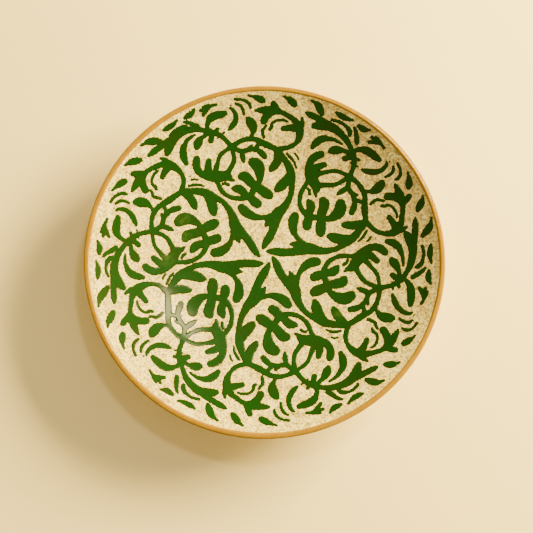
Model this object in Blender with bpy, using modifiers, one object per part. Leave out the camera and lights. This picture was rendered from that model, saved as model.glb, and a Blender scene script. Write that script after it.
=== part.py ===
"""Hand-painted ceramic plate: a shallow thrown dish that stands on a foot ring.

The clay body is glazed cream inside and out, its lip carries a band of ochre glaze, and six leafy
scrolls are painted on the inner glaze. Units are metres and +Z is up. The origin is the centre of
the circle that the foot ring stands on.

Every coat is an offset of the dish's mid-surface, a curve that is turned about Z. A piece that
lies on another keeps the named clearance CONTACT_GAP to it.
"""

import math

import bpy
from mathutils import Vector
from mathutils.geometry import delaunay_2d_cdt

# Overall sizes
PLATE_DIAMETER = 0.300
INNER_DEPTH = 0.026  # from the lip's top down to the glazed floor at the centre
FOOT_HEIGHT = 0.0060  # from the table up to the clay floor at its centre
FOOT_DIAMETER = 0.146

# Clay
FLOOR_THICKNESS = 0.0056
LIP_THICKNESS = 0.0034
DISH_POWER = 2.6  # how late the wall turns up: height grows as radius to this power
FOOT_WIDTH = 0.0080
FOOT_BEVEL = 0.0012
FOOT_DRAFT = 0.0012  # how much narrower the ring is where it stands than where it joins the body

# Coats
GLAZE_THICKNESS = 0.0005
BAND_THICKNESS = 0.0005
BAND_REACH_INSIDE = 0.0017  # how far the ochre band runs down the inner wall, along the surface
BAND_REACH_OUTSIDE = 0.0030
GLAZE_STOP_ABOVE_FOOT = 0.0030  # bare clay left between the outer glaze and the foot ring
CONTACT_GAP = 0.0003

# How finely the round shapes are drawn
TURN_STEPS = 60
INNER_RINGS = 11
OUTER_RINGS = 8
BASE_RINGS = 3
LIP_ARC_STEPS = 6
BAND_SKIRT_STEPS = 2
AXIS_MERGE = 0.00005
OUTLINE_MERGE = 0.00001
HALVINGS = 40  # how often the search for a height halves its span
CDT_INSIDE_TRIANGLES = 1  # the triangulator's option that keeps what lies inside any outline
TIP_WIDTH = 0.0006  # half the width that a brush stroke keeps at its pointed end
SCROLL_COUNT = 6
SCROLL_THICKNESS = 0.0004
SCROLL_DESIGN_RADIUS = 0.150  # the rim radius that the strokes below are drawn for

# One painted scroll as brush strokes, each a run of (x, y, half width) in millimetres from the
# centre of the dish, with the scroll's arm along +X. Strokes that touch run into one another.
SCROLL_STROKES = {
    "spear": [
        (4, 5.2, 0.6), (10, 5.8, 2.6), (17, 5.4, 2.9), (25, 6.2, 3.1), (31, 8.6, 4.8),
        (37.5, 9.2, 4.6), (44, 7.9, 3.5), (50, 7.7, 2.6), (60.5, 9.7, 1.9),
    ],
    "barb": [(22.9, 12.6, 0.6), (25.6, 12.5, 1.7), (29, 11.6, 3.6)],
    "hook_leaf": [
        (33, 11.6, 3.6), (30.8, 14.6, 2.2), (28.4, 17.9, 1.6), (24.8, 25.2, 3.0),
        (24.4, 31, 3.7), (26.1, 36.7, 3.2), (27, 39.2, 1.4),
    ],
    "outer_stem": [
        (59, 9.3, 1.9), (66, 12.6, 2.5), (72.5, 16.5, 3.4), (79, 21.8, 2.8), (84.5, 29.5, 2.5),
        (86.4, 36, 2.0), (86.2, 44, 2.5), (86.3, 52, 1.9), (84.4, 60, 1.8), (79.2, 66.2, 1.5),
        (73, 70, 2.3),
    ],
    "side_leaf_low": [(54, 19.6, 0.6), (57, 19.2, 2.7), (61, 18.1, 4.0), (71.5, 16.8, 3.9)],
    "side_leaf_high": [(67.3, 30.3, 0.6), (69.5, 30.3, 1.7), (75, 29.7, 3.1), (85, 31.8, 2.8)],
    "palmette_stem": [
        (40.5, 70, 2.0), (33.6, 60.8, 1.7), (30.7, 54, 1.4), (30.6, 47.5, 1.6), (33.2, 41, 1.7),
        (37.5, 35.8, 2.0),
    ],
    "short_lobe_up": [(37.2, 35, 2.4), (39, 42, 3.1), (39.9, 46.5, 3.5), (38.3, 51.2, 1.4)],
    "short_lobe_down": [(37.6, 36, 2.8), (36.5, 30.5, 3.7), (36.1, 26.5, 3.2), (36, 24.4, 1.6)],
    "bar": [
        (37, 35.2, 2.3), (48, 35, 2.3), (54, 34.3, 2.0), (61, 37.3, 3.8), (65.3, 41.6, 4.8),
        (66.1, 47.2, 3.8), (66.1, 50, 1.6),
    ],
    "long_lobe_up": [
        (48.8, 34, 3.0), (51.2, 43.8, 3.9), (52, 47.2, 4.0), (50.8, 50, 2.9), (50.4, 51.8, 1.2),
    ],
    "long_lobe_down": [
        (49, 36, 3.0), (48.4, 28, 4.0), (48.2, 24, 4.0), (48.1, 21, 2.6), (48, 19.4, 1.0),
    ],
    "hanging_leaf": [
        (72.8, 70, 2.0), (72.1, 61, 1.9), (77.8, 52.5, 1.6), (78.2, 48, 1.7), (77.4, 44.5, 2.3),
        (76, 41.2, 2.0), (75.6, 40, 1.0),
    ],
    "node_link": [(77.4, 51.7, 1.6), (81, 51, 1.4), (86.5, 49.6, 1.5)],
    "twig_leaf": [(63.3, 54.7, 0.6), (67, 57.3, 1.9), (72.4, 61.6, 1.6)],
    "vine_leaf": [
        (84.5, 59.4, 1.2), (89.3, 59.2, 1.2), (94.5, 61, 3.2), (98.2, 64.8, 3.7), (100, 69, 0.8),
    ],
    "lens_low": [(44.5, 65.5, 3.0), (50, 63.4, 2.0), (60, 62.8, 1.6), (66, 65.2, 1.4), (73, 70, 2.2)],
    "lens_high": [
        (42.5, 72.5, 3.0), (50, 73.8, 1.9), (60, 75.2, 1.3), (66, 73.9, 1.3), (73, 70.3, 2.0),
    ],
    "palm_spine": [(45, 54.4, 0.6), (46.2, 61, 3.0), (42.8, 70, 4.7), (40.4, 78, 3.6)],
    "palm_lobe_high": [
        (40.6, 75, 3.6), (39.6, 81, 2.8), (42.7, 86.6, 3.0), (46.5, 88.8, 3.0), (50, 89.8, 1.8),
    ],
    "palm_lobe_low": [(41, 75, 3.2), (45.3, 78.2, 2.9), (52.4, 80.8, 2.0), (53.8, 81.2, 1.0)],
    "ring": [
        (86.4, 34, 2.0), (92, 27.7, 1.6), (99.8, 24.4, 1.5), (106, 24.7, 2.3), (113, 28.8, 3.5),
        (116.8, 36.5, 1.9), (117.4, 46, 1.7), (116.2, 53, 3.0),
    ],
    "ring_hook": [(104.6, 38.8, 1.2), (107.3, 35.8, 2.1), (112.4, 29.8, 3.0)],
    "ring_thorn": [(112, 28.2, 2.6), (118, 29.3, 1.8), (121.5, 31.5, 0.7)],
    "trident_left": [(102.6, 55.4, 1.4), (105, 55.4, 2.8), (112, 54.6, 3.0), (117, 52.6, 3.0)],
    "trident_middle": [(110, 66.9, 0.6), (113.2, 60.5, 2.5), (116.3, 51.5, 3.2)],
    "trident_right": [(123.6, 57, 1.2), (121.3, 53.8, 2.3), (116.8, 48, 1.9)],
    "star_stem": [(72.8, 69, 2.2), (75.9, 78.5, 1.6), (76.8, 85, 2.0), (76, 93, 2.4)],
    "star_lobe": [(68.2, 86, 1.2), (70.4, 86.5, 2.0), (76.8, 90.5, 2.0)],
    "star_leaf": [
        (56.4, 92.5, 1.3), (60.5, 93.2, 3.3), (64, 93.4, 2.8), (68, 93, 1.5), (77, 91.4, 2.0),
    ],
    "star_arm": [
        (75.5, 91.3, 1.8), (79.5, 94.4, 1.5), (87.5, 95, 2.9), (94, 90.9, 2.8), (98.4, 87, 1.0),
    ],
    "plume": [
        (41.6, 113.2, 1.0), (46, 113.8, 3.0), (56, 113.8, 3.5), (63, 110.6, 2.9), (69.8, 104, 2.3),
        (75.6, 92.5, 1.7),
    ],
    "plume_fork": [(37.8, 126.6, 1.0), (43, 123.4, 2.2), (55, 115.2, 2.6)],
}

# Colours, as linear RGB
CLAY_COLOUR = (0.55, 0.36, 0.22)
CREAM_COLOUR = (0.80, 0.69, 0.52)
OCHRE_COLOUR = (0.75, 0.38, 0.05)
GREEN_COLOUR = (0.03, 0.16, 0.01)

# Worked out from the sizes above
COAT = CONTACT_GAP + GLAZE_THICKNESS
BAND_COAT = CONTACT_GAP + BAND_THICKNESS
RIM_RADIUS = PLATE_DIAMETER / 2
LIP_RADIUS = LIP_THICKNESS / 2
MID_RADIUS = RIM_RADIUS - LIP_RADIUS - BAND_COAT  # where the mid-surface ends, inside the lip's round
BASE_HEIGHT = FOOT_HEIGHT + CONTACT_GAP  # the clay body's lowest point
FLOOR_MID_HEIGHT = BASE_HEIGHT + FLOOR_THICKNESS / 2
FLOOR_TOP_HEIGHT = BASE_HEIGHT + FLOOR_THICKNESS + COAT
MID_RISE = FLOOR_TOP_HEIGHT + INNER_DEPTH - LIP_RADIUS - BAND_COAT - FLOOR_MID_HEIGHT
FOOT_OUTER_RADIUS = FOOT_DIAMETER / 2
FOOT_INNER_RADIUS = FOOT_OUTER_RADIUS - FOOT_WIDTH
SCROLL_SCALE = 0.001 * RIM_RADIUS / SCROLL_DESIGN_RADIUS  # from the strokes' numbers to metres


def smooth_step(share):
    """0 below 0, 1 above 1, and a smooth S between."""
    share = min(max(share, 0.0), 1.0)
    return share * share * (3 - 2 * share)


def mid_height(radius):
    """Height of the wall's mid-surface: almost flat at the centre, rising ever faster to the lip."""
    share = radius / MID_RADIUS
    return FLOOR_MID_HEIGHT + MID_RISE * share**DISH_POWER


def mid_slope(radius):
    return MID_RISE * DISH_POWER * (radius / MID_RADIUS) ** (DISH_POWER - 1) / MID_RADIUS


def half_wall(radius):
    """Half the clay's thickness: the floor's at the centre, thinning steadily to the lip's."""
    thinned = smooth_step(radius / MID_RADIUS)
    return (FLOOR_THICKNESS + (LIP_THICKNESS - FLOOR_THICKNESS) * thinned) / 2


def wall_point(radius, side, coat=0.0):
    """The (r, z) point at a radius of the mid-surface, out to the clay's face and coat beyond it.

    side is +1 for the inner face, which looks up, and -1 for the outer face.
    """
    slope = mid_slope(radius)
    length = math.hypot(1.0, slope)
    reach = side * (half_wall(radius) + coat)
    return (radius - reach * slope / length, mid_height(radius) + reach / length)


def lip_point(turn, coat=0.0):
    """A point on the lip's round: turn goes from 0 at the inner wall to 1 at the outer wall."""
    start = math.pi / 2 + math.atan(mid_slope(MID_RADIUS))
    angle = start - math.pi * turn
    reach = LIP_RADIUS + coat
    return (
        MID_RADIUS + reach * math.cos(angle),
        mid_height(MID_RADIUS) + reach * math.sin(angle),
    )


def spread(low, high, count):
    """count + 1 values from low to high, evenly spaced."""
    return [low + (high - low) * step / count for step in range(count + 1)]


def back_from_lip(length, side, coat):
    """Radius of the mid-surface whose face point lies length along the wall from the lip."""
    edge = wall_point(MID_RADIUS, side, coat)
    radius = MID_RADIUS
    step = length / 50
    while math.dist(wall_point(radius, side, coat), edge) < length:
        radius -= step
    return radius


def make_material(name, colour, roughness):
    material = bpy.data.materials.new(name)
    material.use_nodes = True
    shader = material.node_tree.nodes["Principled BSDF"]
    shader.inputs["Base Color"].default_value = (*colour, 1.0)
    shader.inputs["Roughness"].default_value = roughness
    shader.inputs["Metallic"].default_value = 0.0
    return material


def turned(name, profile, closed, collection, material):
    """Turns an (r, z) profile, which runs down its outer side, about Z into a named solid."""
    points = [(radius, 0.0, height) for radius, height in profile]
    edges = [(i, i + 1) for i in range(len(points) - 1)]
    if closed:
        edges.append((len(points) - 1, 0))
    mesh = bpy.data.meshes.new(name)
    mesh.from_pydata(points, edges, [])
    solid = bpy.data.objects.new(name, mesh)
    collection.objects.link(solid)
    screw = solid.modifiers.new("turn", "SCREW")
    screw.steps = TURN_STEPS
    screw.render_steps = TURN_STEPS
    screw.use_merge_vertices = True
    screw.merge_threshold = AXIS_MERGE
    screw.use_smooth_shade = True
    mesh.materials.append(material)
    return solid


def shell_profile(inner_radius, outer_radius, side, low_coat, high_coat, rings):
    """Closed profile of a coat on one face, between two radii and two heights above the clay."""
    radii = spread(inner_radius, outer_radius, rings)
    near = [wall_point(radius, side, low_coat) for radius in radii]
    far = [wall_point(radius, side, high_coat) for radius in radii]
    # The run on the coat's upper side goes outwards, so that the profile runs down at its outer end.
    upper, lower = (far, near) if side > 0 else (near, far)
    return upper + lower[::-1]


def clay_body(collection, material):
    """The thrown dish, from the centre of its inner face, over the lip, to the centre below."""
    radii = spread(0.0, MID_RADIUS, INNER_RINGS)
    inner = [wall_point(radius, +1) for radius in radii]
    lip = [lip_point(turn) for turn in spread(0.0, 1.0, LIP_ARC_STEPS)[1:-1]]
    outer = [wall_point(radius, -1) for radius in spread(0.0, MID_RADIUS, INNER_RINGS)]
    profile = inner + lip + outer[::-1]
    profile[0] = (0.0, profile[0][1])
    profile[-1] = (0.0, profile[-1][1])
    return turned("clay_body", profile, False, collection, material)


def foot_ring(collection, material):
    """The ring that the plate stands on, with bevelled edges where it meets the table."""
    seat_outer = floor_contact(FOOT_OUTER_RADIUS)
    seat_inner = floor_contact(FOOT_INNER_RADIUS)
    profile = [
        (FOOT_INNER_RADIUS, seat_inner),
        (FOOT_OUTER_RADIUS, seat_outer),
        (FOOT_OUTER_RADIUS - FOOT_DRAFT, FOOT_BEVEL),
        (FOOT_OUTER_RADIUS - FOOT_DRAFT - FOOT_BEVEL, 0.0),
        (FOOT_INNER_RADIUS + FOOT_DRAFT + FOOT_BEVEL, 0.0),
        (FOOT_INNER_RADIUS + FOOT_DRAFT, FOOT_BEVEL),
    ]
    return turned("foot_ring", profile, True, collection, material)


def face_height(radius, side, coat):
    """Height of a face, or of a coat on it, at a distance from the axis, found by halving."""
    low, high = 0.0, MID_RADIUS
    for _ in range(HALVINGS):
        middle = (low + high) / 2
        if wall_point(middle, side, coat)[0] < radius:
            low = middle
        else:
            high = middle
    return wall_point(low, side, coat)[1]


def floor_contact(radius):
    """Height of the foot ring's top at a radius: just clear of the clay above it."""
    return face_height(radius, -1, 0.0) - CONTACT_GAP


def inner_glaze(collection, material):
    """The cream coat on the inner face, from the centre to just under the ochre band's edge."""
    edge = back_from_lip(BAND_REACH_INSIDE + CONTACT_GAP, +1, COAT)
    radii = spread(0.0, edge, INNER_RINGS)
    upper = [wall_point(radius, +1, COAT) for radius in radii]
    lower = [wall_point(radius, +1, CONTACT_GAP) for radius in radii]
    profile = upper + lower[::-1]
    profile[0] = (0.0, profile[0][1])
    profile[-1] = (0.0, profile[-1][1])
    return turned("inner_glaze", profile, False, collection, material)


def outer_glaze(collection, material):
    """The cream coat on the outer wall, from above the foot ring to the ochre band."""
    edge = back_from_lip(BAND_REACH_OUTSIDE + CONTACT_GAP, -1, COAT)
    start = FOOT_OUTER_RADIUS + GLAZE_STOP_ABOVE_FOOT
    profile = shell_profile(start, edge, -1, CONTACT_GAP, COAT, OUTER_RINGS)
    return turned("outer_glaze", profile, True, collection, material)


def base_glaze(collection, material):
    """The cream disc inside the foot ring."""
    edge = FOOT_INNER_RADIUS - GLAZE_STOP_ABOVE_FOOT
    radii = spread(0.0, edge, BASE_RINGS)
    upper = [wall_point(radius, -1, CONTACT_GAP) for radius in radii]
    lower = [wall_point(radius, -1, COAT) for radius in radii]
    profile = upper + lower[::-1]
    profile[0] = (0.0, profile[0][1])
    profile[-1] = (0.0, profile[-1][1])
    return turned("base_glaze", profile, False, collection, material)


def rim_band(collection, material):
    """The ochre coat that wraps the lip, with a skirt down the inner and the outer wall."""
    inside = back_from_lip(BAND_REACH_INSIDE, +1, BAND_COAT)
    outside = back_from_lip(BAND_REACH_OUTSIDE, -1, BAND_COAT)

    def run(coat):
        down_inside = [wall_point(r, +1, coat) for r in spread(inside, MID_RADIUS, BAND_SKIRT_STEPS)]
        round_lip = [lip_point(turn, coat) for turn in spread(0.0, 1.0, LIP_ARC_STEPS)[1:-1]]
        down_outside = [wall_point(r, -1, coat) for r in spread(MID_RADIUS, outside, BAND_SKIRT_STEPS)]
        return down_inside + round_lip + down_outside

    profile = run(BAND_COAT) + run(CONTACT_GAP)[::-1]
    return turned("rim_band", profile, True, collection, material)


def stroke_outline(stroke):
    """The flat outline round a brush stroke: each spine point moved sideways by its half width."""
    spine = [Vector((x, y)) * SCROLL_SCALE for x, y, _ in stroke]
    left, right = [], []
    for index, centre in enumerate(spine):
        before = spine[max(index - 1, 0)]
        after = spine[min(index + 1, len(spine) - 1)]
        sideways = (after - before).orthogonal().normalized()
        reach = max(stroke[index][2] * SCROLL_SCALE, TIP_WIDTH)
        left.append(centre + sideways * reach)
        right.append(centre - sideways * reach)
    return right + left[::-1]


def painted_height(point):
    """Height of the paint's underside over a plan point: just clear of the inner glaze."""
    return face_height(point.length, +1, COAT + CONTACT_GAP)


def scroll_mesh(material):
    """All strokes of a scroll run together into one flat region, then laid on the dish."""
    corners, loops = [], []
    for stroke in SCROLL_STROKES.values():
        outline = stroke_outline(stroke)
        loops.append(list(range(len(corners), len(corners) + len(outline))))
        corners.extend(outline)
    points, _, faces, _, _, _ = delaunay_2d_cdt(
        corners, [], loops, CDT_INSIDE_TRIANGLES, OUTLINE_MERGE
    )
    mesh = bpy.data.meshes.new("scroll")
    mesh.from_pydata([(p.x, p.y, painted_height(p)) for p in points], [], faces)
    mesh.materials.append(material)
    return mesh


def painted_scrolls(collection, material):
    """The six green scrolls, each a thin film on the inner glaze."""
    mesh = scroll_mesh(material)
    for index in range(SCROLL_COUNT):
        scroll = bpy.data.objects.new(f"painted_scroll_{index + 1}", mesh)
        scroll.rotation_euler.z = 2 * math.pi * index / SCROLL_COUNT
        collection.objects.link(scroll)
        film = scroll.modifiers.new("film", "SOLIDIFY")
        film.thickness = SCROLL_THICKNESS
        film.offset = 1.0


def clear_scene():
    for leftover in list(bpy.data.objects):
        bpy.data.objects.remove(leftover)


def main():
    clear_scene()
    plate = bpy.data.collections.new("painted_plate")
    bpy.context.scene.collection.children.link(plate)
    clay = make_material("clay", CLAY_COLOUR, 0.85)
    cream = make_material("cream_glaze", CREAM_COLOUR, 0.25)
    ochre = make_material("ochre_glaze", OCHRE_COLOUR, 0.22)
    clay_body(plate, clay)
    foot_ring(plate, clay)
    inner_glaze(plate, cream)
    outer_glaze(plate, cream)
    base_glaze(plate, cream)
    rim_band(plate, ochre)
    painted_scrolls(plate, make_material("green_glaze", GREEN_COLOUR, 0.25))


main()
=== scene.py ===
"""Hand-painted ceramic plate: the fine model of the glazed dish, worked over its CAD frame.

Units are metres and +Z is up. The origin is the centre of the circle that the foot ring stands on.
Every coat is an offset of the dish's mid-surface. The six painted scrolls are raised films of green
glaze: their brush strokes are written below in millimetres, run together on a fine grid, and laid
on the dish. All shapes are whole numpy arrays, and all finishes are shader graphs.
"""

import logging
import math
from dataclasses import dataclass, field
from enum import Enum

import bpy
import numpy as np
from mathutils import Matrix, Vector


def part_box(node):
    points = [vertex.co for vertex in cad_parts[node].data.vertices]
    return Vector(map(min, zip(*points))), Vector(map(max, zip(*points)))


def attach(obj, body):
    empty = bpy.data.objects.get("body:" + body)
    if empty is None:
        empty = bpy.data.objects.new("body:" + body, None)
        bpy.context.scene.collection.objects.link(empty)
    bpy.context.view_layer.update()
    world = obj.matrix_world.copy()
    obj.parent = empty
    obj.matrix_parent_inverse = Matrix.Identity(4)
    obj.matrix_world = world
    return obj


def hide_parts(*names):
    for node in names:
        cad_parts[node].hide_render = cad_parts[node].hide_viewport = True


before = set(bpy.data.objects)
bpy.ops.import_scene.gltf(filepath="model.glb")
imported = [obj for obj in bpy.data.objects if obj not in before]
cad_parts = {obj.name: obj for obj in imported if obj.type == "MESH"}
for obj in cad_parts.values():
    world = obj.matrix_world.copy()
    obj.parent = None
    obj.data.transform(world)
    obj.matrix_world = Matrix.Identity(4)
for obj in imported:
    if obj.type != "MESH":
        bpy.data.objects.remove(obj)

LOG = logging.getLogger("plate")
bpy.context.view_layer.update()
BODY = "root"
MM = 0.001
FULL_TURN = 2 * math.pi
REPEATS = 6
FINE_STEPS = 2000

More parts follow.
